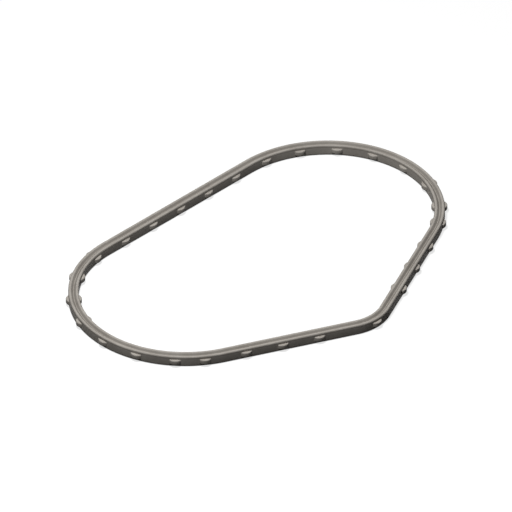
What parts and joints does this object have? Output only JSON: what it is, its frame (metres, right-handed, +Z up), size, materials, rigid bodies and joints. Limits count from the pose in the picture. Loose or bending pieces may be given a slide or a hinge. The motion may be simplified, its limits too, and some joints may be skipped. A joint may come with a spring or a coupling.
{
  "type": "fuel pump seal",
  "caption": "Moulded rubber loop seal with a rounded three-sided outline, grooved sealing lips and retention nubs on both walls, pressed into a flange groove.",
  "frame": {"origin": "centre of the loop's overall outline, on the plane that the crests of the lower lips touch", "axes": "+X along the long axis, from one large arc to the other; +Y from the corner towards the long straight run; +Z up, through the loop and out of the groove"},
  "size_m": [0.1472, 0.098, 0.0039],
  "materials": {
    "rubber": "satin moulded rubber"
  },
  "bodies": {
    "root": {"seal": "rubber"}
  },
  "joints": []
}
